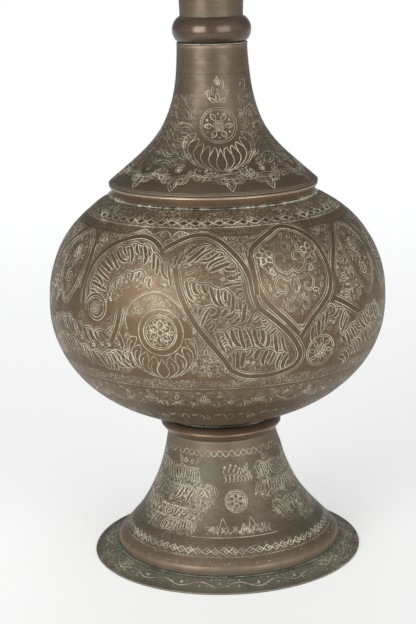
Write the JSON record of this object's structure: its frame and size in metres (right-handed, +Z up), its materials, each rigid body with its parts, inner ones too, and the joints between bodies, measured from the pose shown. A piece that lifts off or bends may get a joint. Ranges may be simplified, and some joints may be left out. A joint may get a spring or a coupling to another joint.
{
  "type": "vase",
  "caption": "Engraved brass vase: trumpet foot with a sloping brim, wide flattened globe, bell-shaped lower neck, round bead and a flared upper neck with a rolled mouth.",
  "frame": {"origin": "centre of the foot, on the table", "axes": "+Z up along the vase's axis, -Y towards the viewer of the picture"},
  "size_m": [0.2392, 0.2392, 0.5018],
  "materials": {
    "brown_brass": "brass sheet with a brown patina, hand engraved, soft satin sheen",
    "greened_brass": "brass sheet with a dull grey-green patina, rubbed brown at the edge",
    "red_copper": "reddish copper, handled smooth, satin",
    "pale_solder": "lumpy soft solder, pale grey-green",
    "dark_solder": "dark solder with green spots",
    "iron_wire": "plain drawn wire, dulled"
  },
  "bodies": {
    "root": {"foot_brim": "greened_brass", "foot_brim_solder": "pale_solder", "foot_pedestal": "brown_brass", "foot_collar": "red_copper", "foot_solder": "dark_solder", "body_bulb": "brown_brass", "shoulder_solder": "pale_solder", "shoulder_band": "red_copper", "neck_bell": "brown_brass", "neck_solder": "pale_solder", "neck_bead": "red_copper", "neck_trumpet": "brown_brass", "mouth_wire": "iron_wire"}
  },
  "joints": []
}
